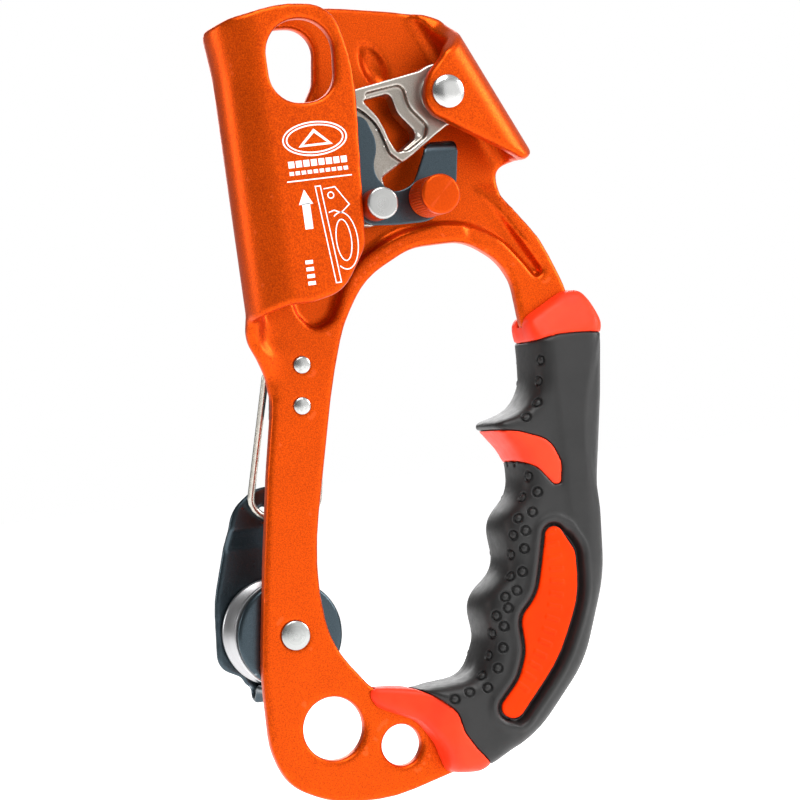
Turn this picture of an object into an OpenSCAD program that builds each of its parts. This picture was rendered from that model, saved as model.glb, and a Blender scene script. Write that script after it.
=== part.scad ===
// Handled rope ascender with a toothed cam, a haul pulley on the back and an overmoulded grip.
// Millimetres. The rope runs along +Z, the front of the frame faces -Y and the hand loop opens
// towards +X. The origin is the middle of the large lower connector hole.

/* [Frame] */
// thickness of the formed aluminium plate
plate_t = 4; // [3.5:0.1:4.5]
// how far the pocket behind the cam is set back from the leg
pocket_set = 3; // [2.6:0.1:3.4]
// clear width of the rope channel, front to back
channel_gap = 12.5; // [12.3:0.1:13]
// radius of the large lower connector hole
lower_hole_r = 7.75; // [7:0.05:8.5]
// radius of the small lower connector hole
small_hole_r = 5.1; // [4.5:0.05:5.5]

/* [Grip] */
// half of the grip's thickness, front to back
grip_half = 10; // [9:0.5:11]

/* [Cam] */
// radius of the cam's rivet shank
cam_pin_r = 2.6; // [2.4:0.1:3]
// radius of the thumb knob
knob_r = 4.9; // [4.5:0.1:5.2]
// length of the thumb knob
knob_l = 11; // [9:0.5:12]

/* [Pulley] */
// radius of the sheave's flanges
sheave_r = 13.5; // [13:0.1:14]
// radius at the bottom of the rope groove
groove_r = 9.6; // [9.3:0.1:10]
// width of the sheave
sheave_w = 13; // [12:0.2:13.4]
// radius of the pulley's axle
axle_r = 3; // [2.5:0.1:3.2]

/* [Gate] */
// diameter of the gate's spring wire
wire_d = 1.9; // [1.6:0.1:2]

/* [Hidden] */
$fn = 64;
running = 0.05;
lap = 0.01;
seat = 0.15;

// depths, front to back
leg_front = -plate_t / 2;
leg_back = plate_t / 2;
rear_front = leg_front + pocket_set;
rear_back = rear_front + plate_t;
flap_back = rear_front - channel_gap;
flap_front = flap_back - plate_t;
channel_mid = (rear_front + flap_back) / 2;
bend_in = channel_gap / 2;
bend_out = bend_in + plate_t;
ear_back = flap_back + 1;
ear_front = ear_back - plate_t;

// places on the frame, [x, z]
small_hole = [16.8, -6.5];
axle_at = [-7.3, 24];
rivet_low = [0.8, 79.5];
rivet_high = [1.9, 89.5];
rivet_r = 1.4;
cam_at = [43, 152.2];
pin_at = [22.4, 126.2];
knob_at = [36.1, 126.9];

// the channel's bend leans outwards a little towards the top
bend_at = [-2.3, 140];
bend_lean = -1.8;

// the hood's fold line runs down to the right
fold_at = [48.9, 151.6];
fold_lean = -26.8;
fold_out = 8;
hood_low = 131;
web_mid = (ear_front + rear_back) / 2;
fold_in = fold_out - plate_t;

// cam depths
cam_back = leg_front - 0.35;
cam_tail = -7.6;
cam_rim = -9;
trigger_t = 1.2;
trigger_back = cam_rim - 0.1;
trigger_front = trigger_back - trigger_t;
hub_front = ear_back + 0.2;
hub_back = rear_front - 0.25;
hub_r = 7.8;
boss_r = 5.2;
stud_r = 1.6;
stud_depth = 8;
pin_r = 1.9;
pin_seat_r = 1.8;
collar_r = 3.9;
collar_l = 6.2;
collar_head = 0.9;

// pulley depths
cheek_t = 1.8;
cheek_front = leg_back + 0.05;
cheek_back = cheek_front + cheek_t;
rear_cheek = 19.3;
sheave_mid = (cheek_back + rear_cheek) / 2;
bearing_w = 6;
bearing_r = 8.6;
cheek_r = 13.4;
tip_step = 3.4;

// bearing radii
inner_r = 4.6;
outer_r = 7.2;
ball_r = 1.45;
ball_n = 9;

orange = [0.93, 0.33, 0.02];
soft_orange = [1, 0.28, 0.12];
rubber = [0.25, 0.25, 0.26];
gunmetal = [0.24, 0.27, 0.29];
nickel = [0.62, 0.6, 0.57];
silver = [0.78, 0.79, 0.8];

// frame outlines, corners as [x, z, rounding radius]
plate_outer = [
    [-7.4, 107, 1], [-7.6, 97, 3], [-4.8, 91, 4], [-4.6, 88, 4], [-6.5, 83, 6],
    [-6.8, 79, 20], [-9.6, 64, 80], [-13, 42, 200],
    [-16.6, 16, 90], [-16.5, -3, 20], [-13, -12.4, 14], [-3, -17.8, 25], [12, -19.6, 60],
    [36, -13.6, 20], [55, 2, 30], [66.5, 24, 40], [69.5, 60, 80], [74.6, 88, 30],
    [73.6, 101.5, 20], [68.2, 114.8, 40], [59.6, 126.8, 2], [59, 132, 2], [50.6, 132, 4],
    [57.2, 124.6, 20], [61.8, 116.6, 30], [67.8, 106.8, 0.8], [65.9, 104.6, 1.2],
    [62.8, 109.2, 8],
    [57.6, 115.6, 14], [50, 120.2, 20], [40.5, 121, 20], [30.5, 119.5, 25], [17.2, 112.4, 20],
    [11.4, 99.6, 5], [6, 97.2, 4], [2.2, 102, 3], [1.2, 107, 2]];

hand_window = [
    [0, 33, 60], [2, 20, 25], [11, 8.2, 8], [21, 4.4, 20], [36, 7, 25], [50, 20, 30],
    [59, 42, 60], [62.6, 70, 40], [63.2, 88, 4], [60.4, 93.4, 4], [58.8, 108.6, 14], [48, 116, 12],
    [33.6, 115.6, 16], [20.6, 109, 20], [13.8, 98, 30], [9.4, 84, 90], [1, 47, 80]];

rear_outer = [
    [-22, 96, 1], [-2, 96, 5], [8, 94.6, 4], [14.6, 98.4, 6], [20, 108.6, 16], [31.5, 116.2, 20],
    [44.5, 117.4, 20], [54.5, 113.4, 12], [63.4, 101.6, 2], [70.4, 102, 3], [67.8, 114.8, 40],
    [59.3, 126.8, 2], [59.2, 133.6, 3], [64.4, 135.2, 1.4], [70, 139, 4], [55.4, 168.6, 3],
    [48.6, 171.2, 4], [44.2, 173.4, 8], [36.4, 175, 12], [19, 177.2, 50], [-2, 176.2, 40],
    [-10, 173, 30], [-22, 167, 3]];

flap_outer = [
    [-26, 166, 3], [-9, 173.9, 40], [3, 176.6, 30], [15.5, 175.4, 11], [19.8, 160, 60],
    [17.6, 116.4, 8], [11, 106, 10], [3, 104, 10], [-3, 104, 10], [-10, 101.6, 6],
    [-13, 96.4, 3], [-26, 92, 3]];

ear_outer = [
    [37, 150, 7], [39.4, 146.6, 4], [62, 134, 1.4], [68, 137.4, 2], [62, 166, 4], [50, 172.4, 1],
    [45, 168.4, 1], [43.6, 161.8, 8], [38.2, 156.4, 8]];

// the hood's top edge as it runs round the fold, corners as [depth, height along the fold]
hood_edge = [
    [-20, -40], [10, -40], [10, 38], [5.5, 33], [1.2, 27], [-3, 17.6], [-6.5, 15.2],
    [-15, 11.3], [-20, 9]];

// the channel wall's foot uncurls into the leg:
// [height, back face, start of the curl, angle of the curl]
foot_rows = [
    [103, 4.95, -1.15, 96], [99, 4.95, -2, 83], [96, 3.6, -2.5, 70], [93.6, 1.98, -2.5, 58],
    [91.2, 1.98, -2.7, 45], [88.8, 1.98, -3.4, 31], [86.5, 1.98, -4.15, 20], [84, 1.98, -6.2, 6],
    [80, 1.98, -6, 2]];

egg_hole = [[-2.3, 172.4, 8.8], [15.4, 172.4, 8.8], [14.2, 152.2, 7.2], [-1.6, 152.2, 7.2]];
egg_hole_rear = [
    [-2.3, 172.4, 8.8], [15.4, 172.4, 8.8], [13.8, 158, 6], [10, 151.8, 4], [-1.6, 152.2, 7.2]];

dimple = [[26.2, 166.4, 2.6], [30.6, 167.6, 2.6], [33, 157.4, 2.8], [27.4, 156, 2.8]];

// the grip's outline, corners as [x, z, rounding radius, share of the edge rounding]
grip_outer = [
    [9, 9.6, 3, 0.5], [10, 4, 8, 0.5], [20.6, -1, 8, 0.5], [24.6, -7, 10, 0.5], [27, -15.2, 3, 0.5],
    [35.4, -16.2, 6, 0.7], [52, -8.4, 30, 1], [66.4, 7.4, 30, 1], [74.2, 29, 40, 1],
    [75.6, 52, 60, 1], [79.2, 74, 60, 1], [81.4, 92, 8, 1], [76.4, 102, 4, 0.7],
    [71, 101, 6, 0.5], [59.6, 94.8, 1.5, 0.5], [60, 87, 10, 0.8], [59.6, 78, 14, 0.8],
    [55.8, 72.6, 10, 0.5], [46.6, 70, 1, 0.12], [53.2, 61, 12, 0.8], [53.4, 52.6, 9, 1],
    [46.2, 45.6, 7, 0.8], [47.2, 34, 7, 1], [38.6, 26.8, 7, 0.8], [39.6, 17, 6, 1],
    [36, 8.6, 7, 0.8], [22, 7.6, 14, 0.7]];

// edge rounding of the grip: [share of the half thickness, inset]
grip_layers = [
    [-1, 5.4], [-0.97, 4], [-0.88, 2.6], [-0.74, 1.6], [-0.56, 1], [-0.3, 0.6], [0, 0.5],
    [0.3, 0.6], [0.56, 1], [0.74, 1.6], [0.88, 2.6], [0.97, 4], [1, 5.4]];

bottom_collar_zone = [
    [0, 16, 1], [0, -22, 1], [39.6, -16.4, 1], [33.6, -9.2, 6], [30.8, -4.6, 5], [29.8, 0.6, 6],
    [25.4, 4.6, 8], [19.4, 8, 1], [17.6, 12, 1]];

top_collar_zone = [
    [50, 87.8, 1], [57, 88.3, 1], [67.4, 90.4, 30], [76, 90, 10], [90, 88, 1], [90, 108, 1],
    [50, 108, 1]];

insert_zone = [
    [43, 69.2, 0.5], [53.4, 67.4, 10], [61.6, 64.4, 8], [64, 58.4, 5], [63.2, 53, 1.2],
    [61.2, 53.2, 1.2], [57.4, 58, 6], [51, 61.4, 3], [46, 61.4, 0.5]];

badge_outline = [
    [58.8, 47.2, 2.6], [65, 36, 5], [64.6, 25, 25], [57.6, 10, 40], [44.6, -4.2, 3],
    [39.4, -0.8, 3], [46.4, 6.4, 10], [49, 13, 12], [48.4, 21.4, 5], [53.6, 26.4, 12],
    [55.6, 34, 12]];

// cam and trigger outlines
cam_outline = [
    [43, 160, 3], [38, 158.4, 3], [20, 154.9, 20], [-1.8, 150.4, 1.2], [-4.4, 141.5, 20],
    [-4.7, 134, 15], [-2.6, 126.4, 1.5], [6, 122.6, 8], [23.6, 121.2, 4.6], [27.8, 125.4, 4],
    [26, 133, 0.4], [34, 137.8, 1], [46, 146, 1], [50, 152, 3]];

cam_rim_zone = [
    [45, 163, 1], [8, 156, 1], [14, 152, 4], [21, 150.8, 8], [25.8, 146.6, 14],
    [28.4, 138.6, 3], [31.4, 136.2, 0.6], [36, 138.4, 1], [52, 149, 1]];

cam_head_zone = [[-8, 156, 1], [-8, 120, 1], [11, 120, 3], [12.6, 136, 12], [11, 156, 3]];

cam_window = [
    [22.6, 152.2, 0.5], [30.6, 153.7, 1.6], [31.9, 148.6, 5], [35.8, 144, 1.2], [35.8, 142, 1.2],
    [30.4, 138.3, 1.2], [28.4, 142.4, 10], [27, 147, 12]];

cam_step = [
    [23.4, 153.9, 0.6], [33.6, 155.6, 2], [34.6, 149.8, 6], [39, 144.8, 1.6], [38, 142, 2],
    [32, 138.3, 2], [28, 144, 3]];

trigger_outline = [
    [17, 148.6, 2.4], [22.4, 148.2, 3], [25.2, 141, 10], [22.6, 134.6, 6], [27.2, 128.6, 5.4],
    [33, 130.4, 5], [36.4, 137.6, 0.3], [45.4, 137.6, 0.3], [44, 128.4, 8], [37.6, 121.2, 8],
    [28, 121, 20], [17.6, 121.6, 5], [17.4, 136, 20]];

// the lip at the trigger's top, bent back under the cam: outline, start and outer bend radius
lip_outline = [
    [36.4, 137.3, 0.1], [45.4, 137.3, 0.1], [45.6, 141, 1.2], [39.6, 140.9, 0.9], [36.9, 138.9, 0.5]];
lip_z = 137.6;
lip_r = 3.2;
lip_back = -4.6;

// pulley bracket, rear plate outline
bracket_outer = [
    [-15.6, 11, 3], [-16.4, 13.4, 2], [-22.4, 16.4, 8], [-21.4, 33, 30], [-17.4, 46.6, 20],
    [-15.4, 55.6, 10], [-8.6, 60.4, 7], [0, 60.6, 7], [5.4, 53, 10], [5.8, 42, 20], [7.4, 20, 12],
    [1.6, 13.6, 2], [0.6, 11, 3]];

// gate
block_at = [1.4, 84.6];
block_lean = 6.8;
gate_pivot = [5.6, 88];
gate_half = 7.2;
gate_len = 36.8;
gate_tilt = 14;
gate_spread = 1.6;
block_w = 11.6;
block_t = 6.6;
block_drop = 9;
block_h = 17;

function unit(v) = v / norm(v);

// the arc that rounds corner q between its neighbours p and s, as n + 1 points
function corner(p, q, s, n = 0) =
    let (
        a = [p.x - q.x, p.y - q.y],
        b = [s.x - q.x, s.y - q.y],
        half = acos(max(-0.9999, min(0.9999, unit(a) * unit(b)))) / 2,
        r = min(q[2], 0.48 * min(norm(a), norm(b)) * tan(half)),
        c = [q.x, q.y] + unit(unit(a) + unit(b)) * r / sin(half),
        p0 = [q.x, q.y] + unit(a) * r / tan(half) - c,
        p1 = [q.x, q.y] + unit(b) * r / tan(half) - c,
        a0 = atan2(p0.y, p0.x),
        sweep = (atan2(p1.y, p1.x) - a0 + 540) % 360 - 180,
        steps = n > 0 ? n : max(1, ceil(abs(sweep) / 8)))
    [for (i = [0:steps]) c + r * [cos(a0 + sweep * i / steps), sin(a0 + sweep * i / steps)]];

function rounded(pts, n = 0) =
    [for (i = [0:len(pts) - 1])
        each corner(pts[(i + len(pts) - 1) % len(pts)], pts[i], pts[(i + 1) % len(pts)], n)];

// moves every corner of an outline inwards by d times its own share
function inset(pts, d) =
    [for (i = [0:len(pts) - 1])
        let (
            q = pts[i],
            e0 = unit([q.x - pts[(i + len(pts) - 1) % len(pts)].x,
                q.y - pts[(i + len(pts) - 1) % len(pts)].y]),
            e1 = unit([pts[(i + 1) % len(pts)].x - q.x, pts[(i + 1) % len(pts)].y - q.y]),
            n0 = [-e0.y, e0.x],
            n1 = [-e1.y, e1.x],
            m = (n0 + n1) / (1 + n0 * n1))
        [q.x + m.x * d * q[3], q.y + m.y * d * q[3], q[2]]];

// a flat plate whose outline stands in the XZ plane, from depth y0 to depth y1
module slab(y0, y1) {
    translate([0, y1, 0])
        rotate([90, 0, 0])
            linear_extrude(y1 - y0)
                children();
}

module slab_of(pts, y0, y1) {
    slab(y0, y1)
        polygon(rounded(pts));
}

// a round pin or bore along Y
module pin_y(at, r, y0, y1) {
    translate([at.x, y1, at.y])
        rotate([90, 0, 0])
            cylinder(r = r, h = y1 - y0);
}

// a body turned about the Y axis through a place; the profile is [radius, depth]
module turned(at) {
    translate([at.x, 0, at.y])
        rotate([-90, 0, 0])
            rotate_extrude($fn = 96)
                children();
}

// a domed rivet head on the face at depth y, rising towards the front
module dome(at, r, rise, y) {
    ball = (r * r + rise * rise) / (2 * rise);
    turned(at)
        intersection() {
            translate([0, y - rise + ball])
                circle(r = ball, $fn = 128);
            translate([0, y - rise])
                square([r, rise]);
        }
}

// a round wire through a list of points, closed at both ends
module wire_path(path, r, sides = 10) {
    last = len(path) - 1;
    dirs = [for (i = [0:last]) unit(path[min(i + 1, last)] - path[max(i - 1, 0)])];
    rings = [for (i = [0:last])
        let (
            d = dirs[i],
            side = unit(cross(d, abs(d.y) > 0.9 ? [1, 0, 0] : [0, 1, 0])),
            up = cross(side, d))
        [for (k = [0:sides - 1])
            path[i] + r * (side * cos(360 * k / sides) + up * sin(360 * k / sides))]];
    points = [for (ring = rings) each ring];
    walls = [for (i = [0:last - 1], k = [0:sides - 1])
        [i * sides + k, i * sides + (k + 1) % sides,
            (i + 1) * sides + (k + 1) % sides, (i + 1) * sides + k]];
    caps = [[for (k = [sides - 1:-1:0]) k], [for (k = [0:sides - 1]) last * sides + k]];
    polyhedron(points, concat(walls, caps), convexity = 6);
}

// a sheet through rings of points; each ring runs along one face and back along the other
module loft(rings) {
    count = len(rings[0]);
    last = len(rings) - 1;
    end = last * count;
    points = [for (ring = rings) each ring];
    walls = [for (i = [0:last - 1], k = [0:count - 1])
        let (a = i * count + k, b = i * count + (k + 1) % count)
        each [[a, b, b + count], [a, b + count, a + count]]];
    caps = [for (k = [0:count / 2 - 2])
        each [[count - 1 - k, count - 2 - k, k + 1, k],
            [end + k, end + k + 1, end + count - 2 - k, end + count - 1 - k]]];
    polyhedron(points, concat(walls, caps), convexity = 8);
}

// ---- frame ----

module lean_about(at, angle) {
    translate([at.x, 0, at.y])
        rotate([0, angle, 0])
            children();
}

// the half round bend on the left of the rope channel, from z0 to z1 along its lean
module channel_bend(at, lean, z0, z1) {
    lean_about(at, lean)
        translate([0, channel_mid, z0])
            linear_extrude(z1 - z0)
                difference() {
                    circle(r = bend_out, $fn = 96);
                    circle(r = bend_in, $fn = 96);
                    translate([0, -bend_out - 1])
                        square([bend_out + 1, 2 * bend_out + 2]);
                }
}

module channel_wall() {
    intersection() {
        channel_bend(bend_at, bend_lean, -42, 40);
        slab(flap_front - 1, channel_mid)
            polygon(rounded(flap_outer));
    }
    intersection() {
        channel_bend(bend_at, bend_lean, -42, 40);
        slab(channel_mid, rear_back + 1)
            polygon(rounded(rear_outer));
    }
}

// the wall's foot: a curled sheet that opens and narrows down to the leg's left edge
module channel_foot() {
    steps = 8;
    r0 = bend_out - seat / 3;
    r1 = bend_in + seat / 3;
    rings = [for (row = foot_rows)
        let (z = row[0], back = row[1], x = row[2], turn = row[3] / steps)
        concat(
            [[0, back, z]],
            [for (i = [0:steps]) [x - r0 * sin(i * turn), back - r0 * (1 - cos(i * turn)), z]],
            [for (i = [steps:-1:0]) [x - r1 * sin(i * turn), back - r0 + r1 * cos(i * turn), z]],
            [[0, back - r0 + r1, z]])];
    loft(rings);
}

module flap() {
    intersection() {
        slab(flap_front, flap_back)
            polygon(rounded(flap_outer));
        lean_about(bend_at, bend_lean)
            translate([-lap, flap_front - 1, -60])
                cube([40, plate_t + 2, 120]);
    }
}

// the hood: the plate's right side folded forwards into an ear that carries the cam's rivet
module fold_frame() {
    lean_about(fold_at, fold_lean)
        translate([0, 0, -60])
            linear_extrude(120)
                children();
}

// a quarter round bend about depth y, on its front side (-1) or its back side (1)
module fold_bend(y, side) {
    fold_frame()
        translate([0, y])
            difference() {
                circle(r = fold_out, $fn = 96);
                circle(r = fold_in, $fn = 96);
                translate([-fold_out - 1, -fold_out - 1])
                    square([fold_out + 1, 2 * fold_out + 2]);
                translate([-1, side > 0 ? -fold_out - 1 : 0])
                    square([fold_out + 2, fold_out + 1]);
            }
}

module hood_rear() {
    intersection() {
        union() {
            fold_bend(rear_back - fold_out, 1);
            fold_frame()
                translate([fold_in, web_mid - lap])
                    square([plate_t, rear_back - fold_out - web_mid + 2 * lap]);
        }
        slab(web_mid - lap, rear_back + 1)
            intersection() {
                polygon(rounded(rear_outer));
                translate([30, hood_low])
                    square(60);
            }
    }
}

module hood_front() {
    intersection() {
        union() {
            fold_bend(ear_front + fold_out, -1);
            fold_frame()
                translate([-30, ear_front])
                    square([30 + lap, plate_t]);
            fold_frame()
                translate([fold_in, ear_front + fold_out - lap])
                    square([plate_t, web_mid - ear_front - fold_out + 2 * lap]);
        }
        slab(ear_front - 1, web_mid)
            polygon(rounded(ear_outer));
    }
}

module hood() {
    intersection() {
        union() {
            hood_rear();
            hood_front();
        }
        lean_about(fold_at, fold_lean)
            translate([-40, 0, 0])
                rotate([90, 0, 90])
                    linear_extrude(60)
                        polygon(hood_edge);
    }
}

module rear_plate() {
    intersection() {
        slab(rear_front, rear_back)
            polygon(rounded(rear_outer));
        lean_about(bend_at, bend_lean)
            translate([-lap, rear_front - 1, -60])
                cube([110, plate_t + 2, 120]);
        lean_about(fold_at, fold_lean)
            translate([-90, rear_front - 1, -90])
                cube([90 + lap, plate_t + 2, 180]);
    }
}

// below the hood the rear plate runs on to the limb's outer edge
module limb_corner() {
    intersection() {
        slab(rear_front, rear_back)
            polygon(rounded(rear_outer));
        translate([44, rear_front - 1, 96])
            cube([30, plate_t + 2, hood_low - 96]);
    }
}

// towards the hood the limb's raised band falls back to the level of the pocket
module limb_ramp() {
    translate([48, 0, 0])
        rotate([90, 0, 90])
            linear_extrude(20)
                polygon([[leg_front - 1, 115], [leg_front, 115], [rear_front, 130],
                    [rear_front, 133], [leg_front - 1, 133]]);
}

module frame() {
    color(orange)
        difference() {
            union() {
                slab(leg_front, leg_back)
                    difference() {
                        polygon(rounded(plate_outer));
                        polygon(rounded(hand_window));
                    }
                rear_plate();
                limb_corner();
                channel_wall();
                channel_foot();
                flap();
                hood();
            }
            limb_ramp();
            slab_of(egg_hole, flap_front - 1, channel_mid);
            slab_of(egg_hole_rear, channel_mid, rear_back + 1);
            slab(rear_front - 1, rear_front + 1.2)
                polygon(rounded(dimple));
            pin_y([0, 0], lower_hole_r, leg_front - 1, leg_back + 1);
            pin_y(small_hole, small_hole_r, leg_front - 1, leg_back + 1);
            pin_y(axle_at, axle_r, leg_front - 1, leg_back + 1);
            pin_y(rivet_low, rivet_r, leg_front - 1, leg_back + 1);
            pin_y(rivet_high, rivet_r, leg_front - 1, leg_back + 1);
            pin_y(cam_at, cam_pin_r, ear_front - 1, rear_back + 1);
        }
}

// ---- grip ----

// the soft outer shape of the whole grip, with rounded edges front and back
module grip_shape() {
    count = len(rounded(grip_outer, 5));
    rings = [for (l = grip_layers)
        [for (p = rounded(inset(grip_outer, l[1]), 5)) [p.x, l[0] * grip_half, p.y]]];
    points = [for (ring = rings) each ring];
    last = len(rings) - 1;
    walls = [for (i = [0:last - 1], k = [0:count - 1])
        [i * count + k, i * count + (k + 1) % count,
            (i + 1) * count + (k + 1) % count, (i + 1) * count + k]];
    caps = [[for (k = [count - 1:-1:0]) k], [for (k = [0:count - 1]) last * count + k]];
    polyhedron(points, concat(walls, caps), convexity = 8);
}

// a wedge along direction lean from a place: half thickness h0 at the start and h1 after length l
module taper(at, lean, h0, h1, l) {
    lean_about(at, lean)
        rotate([90, 0, 90])
            translate([0, 0, -60])
                linear_extrude(120)
                    polygon([[-h0, -60], [-h0, 0], [-h1, l], [-h1, l + 20], [h1, l + 20], [h1, l],
                        [h0, 0], [h0, -60]]);
}

module grip_soft() {
    difference() {
        grip_shape();
        slab(leg_front, leg_back)
            difference() {
                polygon(rounded(plate_outer));
                polygon(rounded(hand_window));
            }
        slab(leg_front, rear_back)
            intersection() {
                polygon(rounded(rear_outer));
                translate([50, 90])
                    square([40, 20]);
            }
    }
}

module badge_pocket(side) {
    y0 = side * grip_half;
    y1 = side * (grip_half - 1.3);
    slab_of(badge_outline, min(y0, y1) - (side < 0 ? 1 : 0), max(y0, y1) + (side > 0 ? 1 : 0));
}

module grip_body() {
    color(rubber)
        difference() {
            grip_soft();
            slab_of(bottom_collar_zone, -20, 20);
            slab_of(top_collar_zone, -20, 20);
            slab_of(insert_zone, -20, 20);
            badge_pocket(-1);
            badge_pocket(1);
        }
}

module grip_top_collar() {
    color(soft_orange)
        intersection() {
            grip_soft();
            slab_of(top_collar_zone, -20, 20);
            taper([70, 88], -14, grip_half + 0.5, 5, 13);
        }
}

module grip_bottom_collar() {
    color(soft_orange)
        intersection() {
            grip_soft();
            slab_of(bottom_collar_zone, -20, 20);
            taper([32, -4], -62, grip_half + 0.5, 3.6, 24);
        }
}

module finger_insert() {
    color(soft_orange)
        intersection() {
            grip_soft();
            slab_of(insert_zone, -20, 20);
        }
}

module badge(side) {
    y0 = side * (grip_half - 1.3);
    y1 = side * (grip_half + 0.2);
    color(soft_orange)
        slab(min(y0, y1), max(y0, y1))
            polygon(rounded(inset([for (p = badge_outline) [p.x, p.y, p[2], -1]], seat)));
}

module badge_front() {
    badge(-1);
}

module badge_back() {
    badge(1);
}

// ---- cam and trigger ----

// rows of short cone teeth, across the curved face that grips the rope
module cam_teeth() {
    for (row = [0:9]) {
        z = 129.4 + row * 2.05;
        face = -4.25 + 0.011 * pow(z - 137, 2);
        for (y = row % 2 == 0 ? [-8, -5.6, -3.6] : [-6.8, -4.6])
            translate([face + 0.8, y, z])
                rotate([0, -92, 0])
                    cylinder(r1 = 0.85, r2 = 0.12, h = 1.9, $fn = 16);
    }
}

module cam() {
    color(nickel)
        difference() {
            union() {
                slab_of(cam_outline, cam_tail, cam_back);
                intersection() {
                    slab_of(cam_outline, cam_rim, cam_back);
                    slab_of(cam_rim_zone, cam_rim, cam_back);
                }
                intersection() {
                    slab_of(cam_outline, cam_rim, cam_back);
                    slab_of(cam_head_zone, cam_rim, cam_back);
                }
                pin_y(cam_at, hub_r, cam_rim, cam_back);
                pin_y(cam_at, boss_r, hub_front, cam_back);
                pin_y(cam_at, boss_r, cam_back - 1, hub_back);
                cam_teeth();
            }
            slab_of(cam_window, cam_rim - 1, cam_back + 1);
            slab_of(cam_step, cam_rim - 1, cam_rim + 1.8);
            pin_y(cam_at, cam_pin_r + running, ear_front, rear_back);
            pin_y(pin_at, pin_seat_r, cam_rim - 2, cam_back + 1);
        }
}

module cam_rivet() {
    color(silver) {
        pin_y(cam_at, cam_pin_r, ear_front, rear_back);
        dome(cam_at, 4.15, 1.5, ear_front);
        pin_y(cam_at, 4.2, rear_back, rear_back + 1);
    }
}

// a two turn coil about the hub, one leg against the cam and one against the rear plate
module cam_spring() {
    turns = 2;
    coil_r = 6.7;
    wire = 1.1;
    y0 = cam_back + 0.75;
    pitch = 1.25;
    coil = [for (a = [0:15:360 * turns])
        [cam_at.x + coil_r * cos(a), y0 + pitch * a / 360 * 0.62, cam_at.y + coil_r * sin(a)]];
    color(silver)
        wire_path(coil, wire / 2, 8);
}

module trigger_lip() {
    intersection() {
        slab_of(lip_outline, trigger_front, lip_back);
        translate([30, 0, 0])
            rotate([90, 0, 90])
                linear_extrude(20) {
                    intersection() {
                        translate([trigger_front + lip_r, lip_z])
                            difference() {
                                circle(r = lip_r, $fn = 64);
                                circle(r = lip_r - trigger_t, $fn = 64);
                            }
                        translate([trigger_front - 1, lip_z])
                            square([lip_r + 1 + lap, lip_r + 1]);
                    }
                    translate([trigger_front + lip_r, lip_z + lip_r - trigger_t])
                        square([6, trigger_t]);
                    translate([trigger_front, lip_z - 1])
                        square([trigger_t, 1 + lap]);
                }
    }
}

module trigger() {
    color(gunmetal)
        difference() {
            union() {
                slab_of(trigger_outline, trigger_front, trigger_back);
                trigger_lip();
            }
            pin_y(pin_at, pin_r + running, trigger_front - 1, trigger_back + 1);
            pin_y(knob_at, stud_r, trigger_front - 1, trigger_back + 1);
        }
}

module trigger_pin() {
    head = trigger_front - collar_l;
    color(silver)
        difference() {
            union() {
                pin_y(pin_at, pin_r, head, cam_tail);
                pin_y(pin_at, pin_seat_r, cam_tail, cam_back);
                pin_y(pin_at, collar_r, head - collar_head, head);
            }
            translate([pin_at.x, head - collar_head, pin_at.y])
                rotate([-90, 0, 0])
                    cylinder(r1 = 0.6, r2 = 0, h = 0.5);
        }
}

module trigger_collar() {
    color(orange)
        difference() {
            pin_y(pin_at, collar_r, trigger_front - collar_l, trigger_front - running);
            pin_y(pin_at, pin_r, trigger_front - 7, trigger_front + 1);
        }
}

module trigger_spring() {
    wire = 0.7;
    coil = [for (a = [0:15:330])
        [pin_at.x + 3 * cos(a), (trigger_back + cam_tail) / 2, pin_at.y + 3 * sin(a)]];
    color(silver)
        wire_path(coil, wire / 2, 8);
}

module knob() {
    front = trigger_front - knob_l;
    color(orange)
        difference() {
            turned(knob_at)
                polygon([[0, front], [knob_r - 0.4, front], [knob_r, front + 0.4],
                    [knob_r, front + 1.4], [knob_r - 0.15, front + 1.5],
                    [knob_r - 0.15, trigger_front - 0.5], [knob_r - 0.6, trigger_front],
                    [0, trigger_front]]);
            pin_y(knob_at, stud_r, trigger_front - stud_depth, trigger_front + 1);
        }
}

module knob_stud() {
    color(silver) {
        pin_y(knob_at, stud_r, trigger_front - stud_depth, trigger_back);
        pin_y(knob_at, 2.6, trigger_back, trigger_back + 0.8);
    }
}

// ---- pulley ----

module sheave() {
    half = sheave_w / 2;
    bowl = 6.4;
    color(silver)
        turned(axle_at)
            translate([0, sheave_mid])
                difference() {
                    polygon([[bearing_r, -half], [sheave_r - 0.4, -half], [sheave_r, 0.4 - half],
                        [sheave_r, 1.1 - half], [groove_r + 0.6, 5 - half],
                        [groove_r + 0.6, half - 5], [sheave_r, half - 1.1],
                        [sheave_r, half - 0.4], [sheave_r - 0.4, half], [bearing_r, half]]);
                    translate([groove_r + bowl, 0])
                        circle(r = bowl);
                }
}

module race(r0, r1) {
    pitch_r = (inner_r + outer_r) / 2;
    turned(axle_at)
        translate([0, sheave_mid])
            difference() {
                translate([r0, -bearing_w / 2])
                    square([r1 - r0, bearing_w]);
                translate([pitch_r, 0])
                    circle(r = ball_r + running);
            }
}

module bearing_outer_ring() {
    color(silver)
        race(outer_r, bearing_r);
}

module bearing_inner_ring() {
    color(silver)
        race(axle_r, inner_r);
}

module bearing_balls() {
    pitch_r = (inner_r + outer_r) / 2;
    color(silver)
        for (i = [0:ball_n - 1])
            translate([axle_at.x + pitch_r * cos(360 * i / ball_n), sheave_mid,
                axle_at.y + pitch_r * sin(360 * i / ball_n)])
                sphere(r = ball_r, $fn = 32);
}

module bearing_seals() {
    color(rubber)
        for (side = [-1, 1])
            turned(axle_at)
                translate([inner_r + seat, sheave_mid + side * 2.3 - 0.4])
                    square([outer_r - inner_r - seat, 0.8]);
}

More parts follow.
